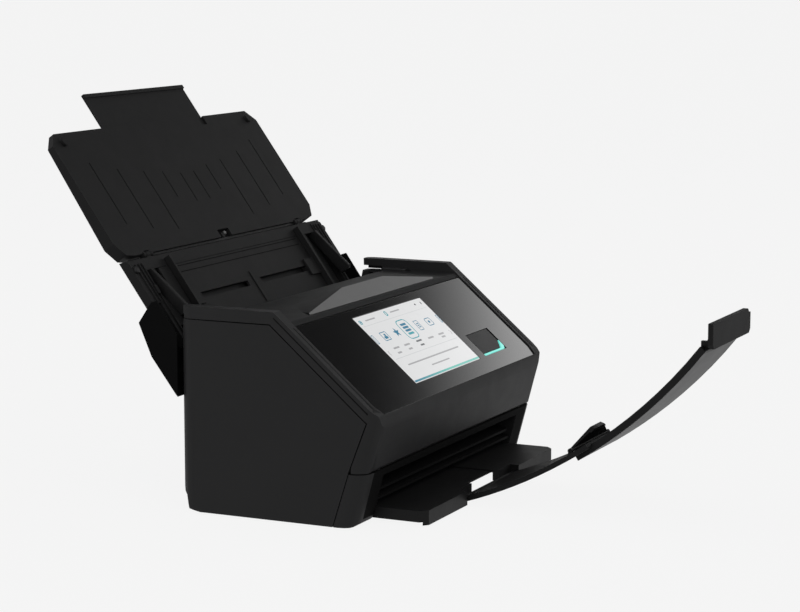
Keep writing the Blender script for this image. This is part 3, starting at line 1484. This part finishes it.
def hopper_frame():
    profile = [
        (-BAR_TOP, 0),
        (-BAR_LOW, 0),
        (-BAR_LOW, -RAIL_THICK),
        (-COVER_START - GAP, -RAIL_THICK),
        (-COVER_START - GAP, -RAIL_THICK + GAP),
    ]
    frame = slab(profile, -RAIL_OUTER, RAIL_OUTER, "X", CHUTE)
    for side in (-1, 1):
        edges = sorted((side * RAIL_INNER, side * RAIL_OUTER))
        rail = box(
            (edges[0], -RAIL_WIDE_END, -RAIL_THICK), (edges[1], -RAIL_TOP, RAIL_RISE), CHUTE
        )
        edges = sorted((side * (RAIL_INNER + GAP), side * RAIL_NARROW_OUTER))
        tail = box(
            (edges[0], -RAIL_END, -RAIL_THICK + GAP),
            (edges[1], -RAIL_WIDE_END + WALL, RAIL_RISE - GAP), CHUTE,
        )
        edges = sorted((side * (PLATE_HALF - WALL), side * (RAIL_INNER + WALL)))
        recess = box(
            (edges[0], -RECESS_END, RECESS_TOP - BACKING_THICK),
            (edges[1], -BAR_LOW + WALL, RECESS_TOP), CHUTE,
        )
        join(frame, rail, tail, recess)
        middle = side * KNUCKLE_X
        reach = KNUCKLE_WIDTH / 2
        for start in (middle - reach - RUN - KNUCKLE_PIN_REACH, middle + reach + RUN):
            relief = box(
                (start - GAP, -KNUCKLE_RADIUS - RUN, -OVERRUN),
                (start + KNUCKLE_PIN_REACH + GAP, OVERRUN, OVERRUN), CHUTE,
            )
            cut(frame, relief)
        arm = box(
            (middle - reach, -BAR_TOP - WALL, -COVER_PIVOT_DEPTH - KNUCKLE_RADIUS),
            (middle + reach, 0, -COVER_PIVOT_DEPTH + KNUCKLE_PIN_RADIUS), CHUTE,
        )
        knuckle = rod(
            KNUCKLE_RADIUS, middle - reach, middle + reach, 0, -COVER_PIVOT_DEPTH, CHUTE
        )
        pin = rod(
            KNUCKLE_PIN_RADIUS, middle - reach - KNUCKLE_PIN_REACH + RUN,
            middle + reach + KNUCKLE_PIN_REACH - RUN, 0, -COVER_PIVOT_DEPTH, CHUTE, sides=12,
        )
        join(frame, arm, knuckle, pin)
    backing = box(
        (-PLATE_HALF, -GUIDE_SLOT_UP - RACK_REACH + GAP, RECESS_TOP - BACKING_THICK),
        (PLATE_HALF, -GUIDE_SLOT_UP + RACK_REACH, RECESS_TOP), CHUTE,
    )
    return join(frame, backing)


def hopper_plate():
    plate = box(
        (-PLATE_HALF, -PLATE_END, -PLATE_THICK), (PLATE_HALF, -BAR_LOW - GAP, 0), CHUTE
    )
    for side in (-1, 1):
        edges = sorted((side * GUIDE_SLOT_INNER, side * GUIDE_SLOT_OUTER))
        low = -GUIDE_SLOT_UP - GUIDE_SLOT_WIDTH / 2
        cut(plate, box(
            (edges[0], low, -OVERRUN), (edges[1], low + GUIDE_SLOT_WIDTH, OVERRUN), CHUTE
        ))
    return plate


def stay_arm():
    """The right brace; the left one is its mirror."""
    outline = [
        (-ARM_START, ARM_START_RISE),
        (-ARM_END, ARM_RISE),
        (-ARM_END - ARM_TIP, ARM_RISE - ARM_TIP),
        (-ARM_END - ARM_TIP, ARM_RISE - ARM_DEPTH),
        (-ARM_START, RECESS_TOP + GAP),
    ]
    return slab(outline, ARM_INNER, ARM_INNER + ARM_WIDTH, "X", CHUTE)


def guide_rack(side):
    """A toothed bar that runs from one guide across the pinion; the right one is turned half round."""
    out = []
    base = -PINION_PITCH - GEAR_SLACK
    root = base - ROOT_SHARE * RACK_MODULE
    start = -GUIDE_X + GUIDE_FOOT_REACH - GUIDE_NECK
    for tooth in range(RACK_TEETH):
        middle = snap_to_tooth(start + (tooth + 1) * RACK_PITCH)
        for up, turn in (
            (root, -FOOT_SHARE), (base + TIP_SHARE * RACK_MODULE, -CREST_SHARE),
            (base + TIP_SHARE * RACK_MODULE, CREST_SHARE), (root, FOOT_SHARE),
        ):
            out.append((middle + turn * RACK_PITCH, up))
    far = out[-1][0] + RACK_PITCH / 4
    back = root - RACK_BACK
    out += [(far, root), (far, back), (start, back), (start, root)]
    rack = slab(out, RACK_FAR_H, RACK_FAR_H + RACK_THICK, "Z")
    half_turn = Matrix.Rotation(math.pi if side > 0 else 0, 4, "Z")
    rack.matrix_basis = CHUTE @ Matrix.Translation((0, -GUIDE_SLOT_UP, 0)) @ half_turn
    return rack


def snap_to_tooth(x):
    """The nearest place where a rack tooth meets a gap of the pinion."""
    return round(x / RACK_PITCH) * RACK_PITCH


def side_guide(side):
    edges = sorted((side * GUIDE_X, side * (GUIDE_X + GUIDE_WALL)))
    wall = box((edges[0], -GUIDE_LOW, GAP), (edges[1], -GUIDE_TOP, GUIDE_HIGH), CHUTE)
    inner = GUIDE_X - GUIDE_FOOT_REACH
    edges = sorted((side * inner, side * (GUIDE_X + GUIDE_WALL / 2)))
    foot_plate = box(
        (edges[0], -GUIDE_SLOT_UP - GUIDE_FOOT_HALF, GAP),
        (edges[1], -GUIDE_SLOT_UP + GUIDE_FOOT_HALF, GAP + GUIDE_FOOT_THICK), CHUTE,
    )
    edges = sorted((side * inner, side * (inner + GUIDE_NECK)))
    neck = box(
        (edges[0] + GAP, -GUIDE_SLOT_UP - GUIDE_NECK / 2, RACK_FAR_H + GAP),
        (edges[1] - GAP, -GUIDE_SLOT_UP + GUIDE_NECK / 2, GAP + GUIDE_FOOT_THICK / 2), CHUTE,
    )
    up = sorted((-GUIDE_SLOT_UP, -GUIDE_SLOT_UP + side * (RACK_REACH - GAP)))
    thin = GAP / 3
    web = box(
        (edges[0] + thin, up[0], RACK_FAR_H + thin),
        (edges[1] - thin, up[1], RACK_FAR_H + RACK_THICK - thin), CHUTE,
    )
    return join(wall, foot_plate, neck, web, guide_rack(side))


def guide_pinion():
    phase = math.pi / 2 + math.pi / GUIDE_PINION_TEETH
    outline = gear_outline(GUIDE_PINION_TEETH, RACK_MODULE, (0, -GUIDE_SLOT_UP), phase)
    return slab(outline, RACK_FAR_H, RACK_FAR_H + RACK_THICK, "Z", CHUTE)


# Stacker

def arc_point(y, inwards):
    """A point on the stacker's arc at a depth, moved towards the arc's centre."""
    turn = math.asin((ARC_Y - y) / ARC_RADIUS)
    reach = ARC_RADIUS - inwards
    return (ARC_Y - reach * math.sin(turn), ARC_Z - reach * math.cos(turn))


def arc_band(start_y, end_y, near, far, steps):
    """An outline between two offsets from the arc's lower surface."""
    line = [start_y + (end_y - start_y) * step / steps for step in range(steps + 1)]
    lower = [arc_point(y, near) for y in line]
    upper = [arc_point(y, far) for y in line]
    return lower + upper[::-1]


def stacker_tray():
    bay = TRAY_BAY_HALF
    plan = [
        (-TRAY_HALF, TRAY_REAR_Y),
        (-TRAY_HALF, TRAY_FRONT_Y + TRAY_CORNER),
        (-TRAY_HALF + TRAY_CORNER, TRAY_FRONT_Y),
        (-bay, TRAY_FRONT_Y),
        (-bay, TRAY_EDGE_Y),
        (bay, TRAY_EDGE_Y),
        (bay, TRAY_FRONT_Y),
        (TRAY_HALF - TRAY_CORNER, TRAY_FRONT_Y),
        (TRAY_HALF, TRAY_FRONT_Y + TRAY_CORNER),
        (TRAY_HALF, TRAY_REAR_Y),
    ]
    tray = slab(plan, TRAY_LIP_Z, TRAY_TOP_Z, "Z")
    wall = TRAY_SKIN
    behind_lip = TRAY_FRONT_Y + TRAY_LIP
    under = box(
        (-TRAY_HALF - OVERRUN, behind_lip, -OVERRUN),
        (TRAY_HALF + OVERRUN, TRAY_REAR_Y + OVERRUN, TRAY_LOW_Z),
    )
    ear = bay + ROOT_PIN_REACH + wall
    back_room = box(
        (-TRAY_HALF + wall, TRAY_EDGE_Y + wall + wall, -OVERRUN),
        (TRAY_HALF - wall, TRAY_REAR_Y - wall, TRAY_TOP_Z - TRAY_SKIN),
    )
    cut(tray, under, back_room)
    for side in (-1, 1):
        edges = sorted((side * ear, side * (TRAY_HALF - wall)))
        cut(tray, box(
            (edges[0], behind_lip, -OVERRUN),
            (edges[1], TRAY_EDGE_Y + wall + wall + GAP, TRAY_TOP_Z - TRAY_SKIN),
        ))
    finger = box(
        (-FINGER_HALF, TRAY_EDGE_Y - OVERRUN, -OVERRUN),
        (FINGER_HALF, TRAY_EDGE_Y + FINGER_DEPTH, RIM_Z),
    )
    channel = box(
        (-CHANNEL_HALF, TRAY_EDGE_Y - OVERRUN, TRAY_TOP_Z - CHANNEL_DEPTH),
        (CHANNEL_HALF, CHANNEL_REAR_Y, RIM_Z),
    )
    pins = rod(
        bore(ROOT_PIN_RADIUS), -bay - ROOT_PIN_REACH - GAP, bay + ROOT_PIN_REACH + GAP,
        ROOT_Y, ROOT_Z,
    )
    return cut(tray, finger, channel, pins)


def stacker_extension_1():
    leaf = slab(arc_band(FIRST_ROOT_Y, FIRST_END_Y, 0, FIRST_THICK, 10), -FIRST_HALF, FIRST_HALF)
    lane = SECOND_HALF + GAP + GAP
    room = arc_band(
        FIRST_ROOT_Y - WALL - WALL, FIRST_END_Y - OVERRUN, -OVERRUN, FIRST_THICK - FIRST_SKIN, 14
    )
    cut(leaf, slab(room, -lane, lane))
    barrel = rod(ROOT_RADIUS, -FIRST_HALF, FIRST_HALF, ROOT_Y, ROOT_Z)
    pins = rod(
        ROOT_PIN_RADIUS, -TRAY_BAY_HALF - ROOT_PIN_REACH, TRAY_BAY_HALF + ROOT_PIN_REACH,
        ROOT_Y, ROOT_Z,
    )
    join(leaf, barrel, pins)
    base = (MIDDLE_BASE_Y, MIDDLE_BASE_Z)
    for side in (-1, 1):
        start = side * (MIDDLE_HALF + EAR_WIDTH / 2 + RUN)
        ear = rod(
            MIDDLE_BARREL + GAP, start - EAR_WIDTH / 2, start + EAR_WIDTH / 2, base[0], base[1]
        )
        stem = box(
            (start - EAR_WIDTH / 2, base[0] - MIDDLE_BARREL, base[1] - MIDDLE_BARREL * 2),
            (start + EAR_WIDTH / 2, base[0] + MIDDLE_BARREL, base[1]),
        )
        join(leaf, ear, stem)
    hole = rod(
        bore(END_PIN_RADIUS, 12), -MIDDLE_HALF - EAR_WIDTH - RUN - RUN,
        MIDDLE_HALF + EAR_WIDTH + RUN + RUN, base[0], base[1], sides=12,
    )
    return cut(leaf, hole)


def stacker_extension_2():
    top = FIRST_THICK - FIRST_SKIN - GAP
    deep = top - SECOND_DEEP
    leaf = slab(arc_band(SECOND_ROOT_Y, SECOND_END_Y, deep, top, 9), -SECOND_HALF, SECOND_HALF)
    room = arc_band(
        SECOND_ROOT_Y + OVERRUN, SECOND_END_Y + SECOND_WALL, deep - OVERRUN, top - SECOND_SKIN, 13
    )
    lane = SECOND_HALF - SECOND_WALL
    cut(leaf, slab(room, -lane, lane))
    for side in (-1, 1):
        start = side * (END_BARREL_HALF + EAR_WIDTH / 2 + RUN)
        ear = rod(
            END_BARREL + GAP, start - EAR_WIDTH / 2, start + EAR_WIDTH / 2, END_AXIS_Y, END_AXIS_Z
        )
        stem = box(
            (start - EAR_WIDTH / 2, END_AXIS_Y, END_AXIS_Z - END_BARREL * 3),
            (start + EAR_WIDTH / 2, END_AXIS_Y + EAR_WIDTH * 2, END_AXIS_Z),
        )
        join(leaf, ear, stem)
    hole = rod(
        bore(END_PIN_RADIUS, 12), -END_BARREL_HALF - EAR_WIDTH - RUN - RUN,
        END_BARREL_HALF + EAR_WIDTH + RUN + RUN, END_AXIS_Y, END_AXIS_Z, sides=12,
    )
    clear = rod(
        END_BARREL + GAP, -END_BARREL_HALF - RUN, END_BARREL_HALF + RUN, END_AXIS_Y, END_AXIS_Z
    )
    return cut(leaf, hole, clear)


def middle_stopper():
    along = Vector((MIDDLE_TIP_Y - MIDDLE_BASE_Y, MIDDLE_TIP_Z - MIDDLE_BASE_Z))
    along.normalize()
    out = Vector((-along.y, along.x)) * -1
    base = Vector((MIDDLE_BASE_Y, MIDDLE_BASE_Z))
    tip = Vector((MIDDLE_TIP_Y, MIDDLE_TIP_Z))
    outline = [
        base,
        tip - out * MIDDLE_THICK - along * MIDDLE_THICK,
        tip - out * MIDDLE_LIP - along * MIDDLE_THICK,
        tip - out * MIDDLE_LIP,
        tip,
        base + out * MIDDLE_BARREL * SNUG_SHARE,
    ]
    flap = slab([tuple(point) for point in outline], -MIDDLE_HALF, MIDDLE_HALF)
    reach = (tip - base).length + GAP
    place = Matrix.Translation((0, MIDDLE_BASE_Y, MIDDLE_BASE_Z)) @ Matrix.Rotation(
        math.atan2(along.y, along.x), 4, "X"
    )
    plan = [
        (-MIDDLE_HALF, -OVERRUN), (MIDDLE_HALF, -OVERRUN), (MIDDLE_HALF, MIDDLE_BARREL),
        (MIDDLE_TIP_HALF, reach), (-MIDDLE_TIP_HALF, reach), (-MIDDLE_HALF, MIDDLE_BARREL),
    ]
    keep(flap, slab(plan, -OVERRUN, OVERRUN, "Z", place))
    reach = MIDDLE_HALF + GAP / 3
    barrel = rod(MIDDLE_BARREL, -reach, reach, MIDDLE_BASE_Y, MIDDLE_BASE_Z)
    pins = rod(
        END_PIN_RADIUS, -MIDDLE_HALF - EAR_WIDTH, MIDDLE_HALF + EAR_WIDTH,
        MIDDLE_BASE_Y, MIDDLE_BASE_Z, sides=12,
    )
    return join(flap, barrel, pins)


def end_stopper():
    half = END_HALF
    outline = [
        (-half, END_LOW_Z + END_STEP),
        (-half + END_STEP, END_LOW_Z),
        (half - END_STEP, END_LOW_Z),
        (half, END_LOW_Z + END_STEP),
        (half, END_TOP_Z - END_STEP),
        (half - END_STEP, END_TOP_Z - END_STEP),
        (half - END_STEP * 2, END_TOP_Z),
        (-half, END_TOP_Z),
    ]
    plate = slab(outline, -END_FRONT_Y - END_THICK, -END_FRONT_Y, "Y")
    flip = Matrix.Diagonal((1, -1, 1, 1))
    shape = bmesh.new()
    shape.from_mesh(plate.data)
    bmesh.ops.transform(shape, matrix=flip, verts=shape.verts)
    bpy.data.objects.remove(plate)
    plate = from_bmesh(shape)
    barrel = rod(END_BARREL, -END_BARREL_HALF, END_BARREL_HALF, END_AXIS_Y, END_AXIS_Z)
    web = box(
        (-END_BARREL_HALF, END_FRONT_Y + END_THICK / 2, END_AXIS_Z - END_BARREL / 2),
        (END_BARREL_HALF, END_AXIS_Y, END_AXIS_Z + END_BARREL / 2),
    )
    pins = rod(
        END_PIN_RADIUS, -END_BARREL_HALF - EAR_WIDTH, END_BARREL_HALF + EAR_WIDTH,
        END_AXIS_Y, END_AXIS_Z, sides=12,
    )
    return join(plate, barrel, web, pins)


# Sockets, boards and motor

def power_inlet():
    front = REAR_Y - POWER_DEPTH
    jack = post_y(POWER_HALF, front, REAR_Y - SOCKET_LIP, POWER_X, SOCKET_Z)
    hole = post_y(POWER_HOLE_RADIUS, front + SOCKET_WALL, REAR_Y + OVERRUN, POWER_X, SOCKET_Z)
    return cut(jack, hole)


def usb_socket():
    front = REAR_Y - USB_DEPTH
    shell = box(
        (USB_X - USB_HALF_WIDTH, front, SOCKET_Z - USB_HALF_HEIGHT),
        (USB_X + USB_HALF_WIDTH, REAR_Y - SOCKET_LIP, SOCKET_Z + USB_HALF_HEIGHT),
    )
    hole = box(
        (
            USB_X - USB_HALF_WIDTH + SOCKET_WALL, front + SOCKET_WALL,
            SOCKET_Z - USB_HALF_HEIGHT + SOCKET_WALL,
        ),
        (
            USB_X + USB_HALF_WIDTH - SOCKET_WALL, REAR_Y + OVERRUN,
            SOCKET_Z + USB_HALF_HEIGHT - SOCKET_WALL,
        ),
    )
    return cut(shell, hole)


def main_board():
    rear = REAR_Y - WALL - GAP
    return box(
        (-MAIN_BOARD_HALF, rear - BOARD_THICK, MAIN_BOARD_LOW_Z),
        (MAIN_BOARD_HALF, rear, MAIN_BOARD_TOP_Z),
    )


def feed_motor():
    end = -FRAME_INNER + GAP
    can = rod(MOTOR_RADIUS, end, end + MOTOR_LENGTH, *MOTOR_CENTRE, sides=24)
    return can


def motor_pinion():
    phase = MOTOR_ANGLE + math.pi
    outline = gear_outline(MOTOR_TEETH, GEAR_MODULE, MOTOR_CENTRE, phase)
    pinion = slab(outline, -GEAR_X - GEAR_WIDTH, -GEAR_X)
    inner = -FRAME_INNER - GAP
    return join(pinion, rod(MOTOR_SHAFT_RADIUS, -GEAR_X - WALL, inner, *MOTOR_CENTRE, sides=12))


def feed_gear():
    phase = MOTOR_ANGLE + math.pi / FEED_TEETH
    outline = gear_outline(FEED_TEETH, GEAR_MODULE, FEED_CENTRE, phase)
    gear = slab(outline, -GEAR_X - GEAR_WIDTH, -GEAR_X)
    hole = rod(SHAFT_RADIUS + GAP / 3, -BODY_HALF_WIDTH, 0, *FEED_CENTRE)
    return cut(gear, hole)


def driven_shaft(centre, reach):
    """A shaft through both frame plates, with its pulley on the left."""
    outer = FRAME_INNER + FRAME_THICK + SHAFT_OVERHANG
    bar = rod(SHAFT_RADIUS, -reach, outer, *centre)
    return join(bar, pulley_wheel(centre))


def free_roller(centre, radius, half, axle):
    """A roller moulded with its own axle stubs, held in the cover's inner walls."""
    tyre = rod(radius, -half, half, *centre, sides=24)
    reach = COVER_INNER_HALF - COVER_INNER_WALL / 2
    return join(tyre, rod(axle, -reach, reach, *centre, sides=12))


def build_static():
    body = envelope()
    mesh = body.data

    def blank():
        return scratch(mesh.copy())

    part(bottom_cover(), "bottom_cover", "dark_plastic")
    for side, across in (("left", -PAD_X), ("right", PAD_X)):
        for end, along in (("front", PAD_FRONT_Y), ("rear", PAD_REAR_Y)):
            part(foot(across, along), f"{end}_{side}_foot", "rubber")
    right = side_panel(blank())
    part(mirrored(right), "left_side_panel", "dark_plastic")
    part(right, "right_side_panel", "dark_plastic")
    part(front_frame(blank()), "front_frame", "dark_plastic")
    part(rear_cover(blank()), "rear_cover", "dark_plastic")
    part(chute_rear_housing(), "chute_rear_housing", "black_plastic")
    part(lower_guide(), "lower_guide", "black_plastic")
    right = frame_plate()
    left = mirrored(right)
    motor_hole = rod(
        MOTOR_SHAFT_RADIUS + GAP, -BODY_HALF_WIDTH, 0, *MOTOR_CENTRE, sides=12
    )
    part(cut(left, motor_hole), "left_frame_plate", "steel")
    part(right, "right_frame_plate", "steel")
    part(sensor_unit(LOWER_OFFSET, 1), "rear_sensor_unit", "black_plastic")
    part(sensor_glass(LOWER_OFFSET, 1), "rear_sensor_glass", "glass")
    part(feed_motor(), "feed_motor", "steel")
    part(drive_belt(), "drive_belt", "rubber")
    part(main_board(), "main_board", "board")
    part(power_inlet(), "power_inlet", "black_plastic")
    part(usb_socket(), "usb_socket", "steel")
    return body, blank


def build_drive():
    gear_end = GEAR_X + GEAR_WIDTH + SHAFT_OVERHANG
    pulley_end = PULLEY_X + PULLEY_WIDTH + SHAFT_OVERHANG
    for name, centre, reach, radius, half in (
        ("feed", FEED_CENTRE, gear_end, FEED_RADIUS, FEED_HALF),
        ("pick", PICK_CENTRE, pulley_end, PICK_RADIUS, PICK_HALF),
        ("eject", EJECT_CENTRE, pulley_end, EJECT_RADIUS, EJECT_HALF),
    ):
        axis = pivot(f"{name}_axis", (0, *centre))
        part(driven_shaft(centre, reach), f"{name}_shaft", "steel", axis)
        part(roller(centre, radius, half, SHAFT_RADIUS), f"{name}_roller", "rubber", axis)
    part(feed_gear(), "feed_gear", "gear_plastic", "feed_axis")
    motor_axis = pivot("motor_axis", (0, *MOTOR_CENTRE))
    part(motor_pinion(), "motor_pinion", "gear_plastic", motor_axis)


def build_lifting_cover(blank):
    hinge = pivot("adf_cover_axis", (0, HINGE_Y, HINGE_Z))
    shell = cover_shell(blank())
    for centre, axle in (
        (BRAKE_CENTRE, IDLER_SHAFT_RADIUS),
        (FEED_IDLER_CENTRE, IDLER_SHAFT_RADIUS),
        (EJECT_IDLER_CENTRE, IDLER_SHAFT_RADIUS),
    ):
        reach = COVER_INNER_HALF + OVERRUN / 4
        cut(shell, rod(bore(axle, 12), -reach, reach, *centre, sides=12))
    part(shell, "cover_shell", "dark_plastic", hinge)
    part(glossy_panel(), "glossy_panel", "gloss_black", hinge)
    part(screen_display(), "screen_display", "display", hinge)
    part(button_light_guide(), "button_light_guide", "light_guide", hinge)
    part(control_board(), "control_board", "board", hinge)
    part(top_deck(), "top_deck", "dark_plastic", hinge)
    part(upper_guide(), "upper_guide", "black_plastic", hinge)
    part(sensor_unit(-UPPER_OFFSET, -1), "front_sensor_unit", "black_plastic", hinge)
    part(sensor_glass(-UPPER_OFFSET, -1), "front_sensor_glass", "glass", hinge)
    middle = ((BUTTON_LEFT + BUTTON_RIGHT) / 2, (BUTTON_LOW + BUTTON_TOP) / 2, 0)
    button = pivot("scan_button_axis", middle, hinge, PANEL)
    part(scan_button(), "scan_button", "gloss_black", button)
    lever = pivot("release_lever_axis", (LEVER_X, LEVER_FRONT_Y, DECK_Z), hinge)
    part(cover_release_lever(), "cover_release_lever", "grey_plastic", lever)
    for name, centre, radius, half in (
        ("brake_roller", BRAKE_CENTRE, BRAKE_RADIUS, PICK_HALF),
        ("feed_idler", FEED_IDLER_CENTRE, FEED_IDLER_RADIUS, FEED_HALF),
        ("eject_idler", EJECT_IDLER_CENTRE, EJECT_IDLER_RADIUS, EJECT_HALF),
    ):
        axis = pivot(f"{name}_axis", (0, *centre), hinge)
        part(free_roller(centre, radius, half, IDLER_SHAFT_RADIUS), name, "rubber", axis)


def build_chute():
    lift = pivot("hopper_axis", (0, -RAIL_END, 0), frame=CHUTE)
    part(hopper_frame(), "hopper_frame", "dark_plastic", lift)
    part(hopper_plate(), "hopper_plate", "dark_plastic", lift)
    right = stay_arm()
    part(mirrored(right), "left_stay_arm", "dark_plastic", lift)
    part(right, "right_stay_arm", "dark_plastic", lift)
    for side, name in ((-1, "left_side_guide"), (1, "right_side_guide")):
        axis = pivot(f"{name}_axis", (side * GUIDE_X, -GUIDE_SLOT_UP, 0), lift, CHUTE)
        part(side_guide(side), name, "dark_plastic", axis)
    spin = pivot("guide_pinion_axis", (0, -GUIDE_SLOT_UP, 0), lift, CHUTE)
    part(guide_pinion(), "guide_pinion", "gear_plastic", spin)
    fold = pivot("chute_cover_axis", (0, 0, -COVER_PIVOT_DEPTH), lift, CHUTE)
    part(chute_cover(), "chute_cover", "dark_plastic", fold)
    slide = pivot("chute_extension_axis", (0, EXTENSION_START, -POCKET_ROOF), fold, CHUTE)
    part(chute_extension(), "chute_extension", "dark_plastic", slide)


def build_stacker():
    slide = pivot("stacker_tray_axis", (0, TRAY_FRONT_Y, TRAY_LOW_Z))
    part(stacker_tray(), "stacker_tray", "black_plastic", slide)
    root = pivot("extension_1_axis", (0, ROOT_Y, ROOT_Z), slide)
    part(stacker_extension_1(), "stacker_extension_1", "black_plastic", root)
    arc = pivot("extension_2_axis", (0, ARC_Y, ARC_Z), root)
    part(stacker_extension_2(), "stacker_extension_2", "grey_plastic", arc)
    fold = pivot("middle_stopper_axis", (0, MIDDLE_BASE_Y, MIDDLE_BASE_Z), root)
    part(middle_stopper(), "middle_stopper", "black_plastic", fold)
    tip = pivot("end_stopper_axis", (0, END_AXIS_Y, END_AXIS_Z), arc)
    part(end_stopper(), "end_stopper", "black_plastic", tip)


def main():
    body, blank = build_static()
    build_drive()
    build_lifting_cover(blank)
    build_chute()
    build_stacker()
    bpy.data.objects.remove(body)


main()
